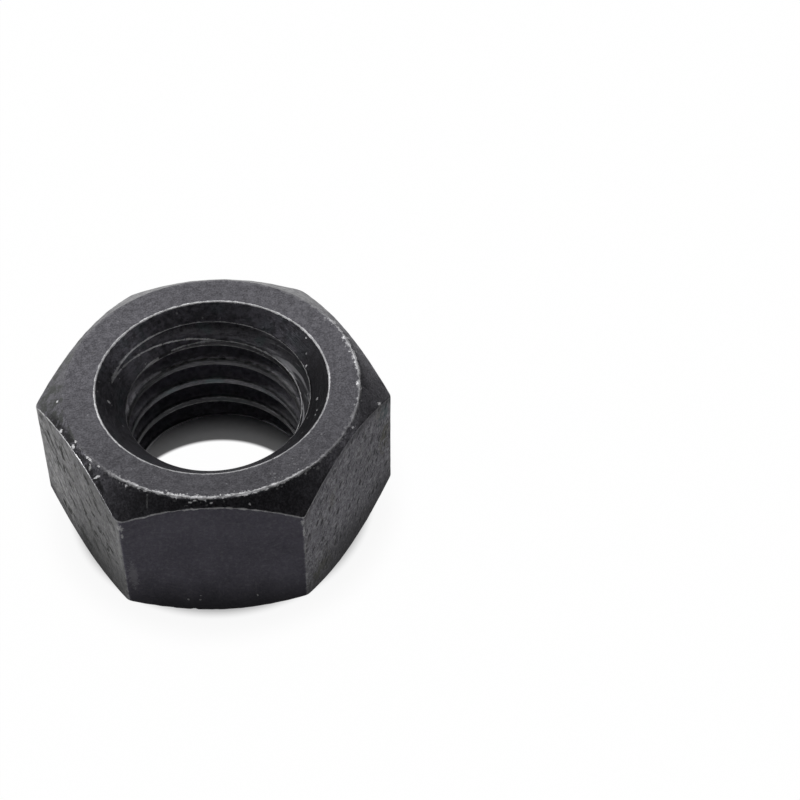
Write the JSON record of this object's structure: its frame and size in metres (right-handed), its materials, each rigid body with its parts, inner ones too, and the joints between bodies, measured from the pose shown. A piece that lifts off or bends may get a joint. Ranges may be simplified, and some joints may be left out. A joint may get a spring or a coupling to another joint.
{
  "type": "hexagon nut",
  "caption": "Hexagon nut in dark oxidised steel, chamfered and countersunk on both ends, with a coarse right-hand thread through its bore.",
  "frame": {"origin": "centre of the bore on the underside that the nut rests on", "axes": "+Z along the bore, from the underside to the upper face; -Y is the outward normal of one flat, and +X points at a corner between two flats"},
  "size_m": [0.031, 0.027, 0.015],
  "materials": {
    "black_steel": "black oxide, satin, worn bright along the edges"
  },
  "bodies": {
    "root": {"hex_nut": "black_steel"}
  },
  "joints": []
}
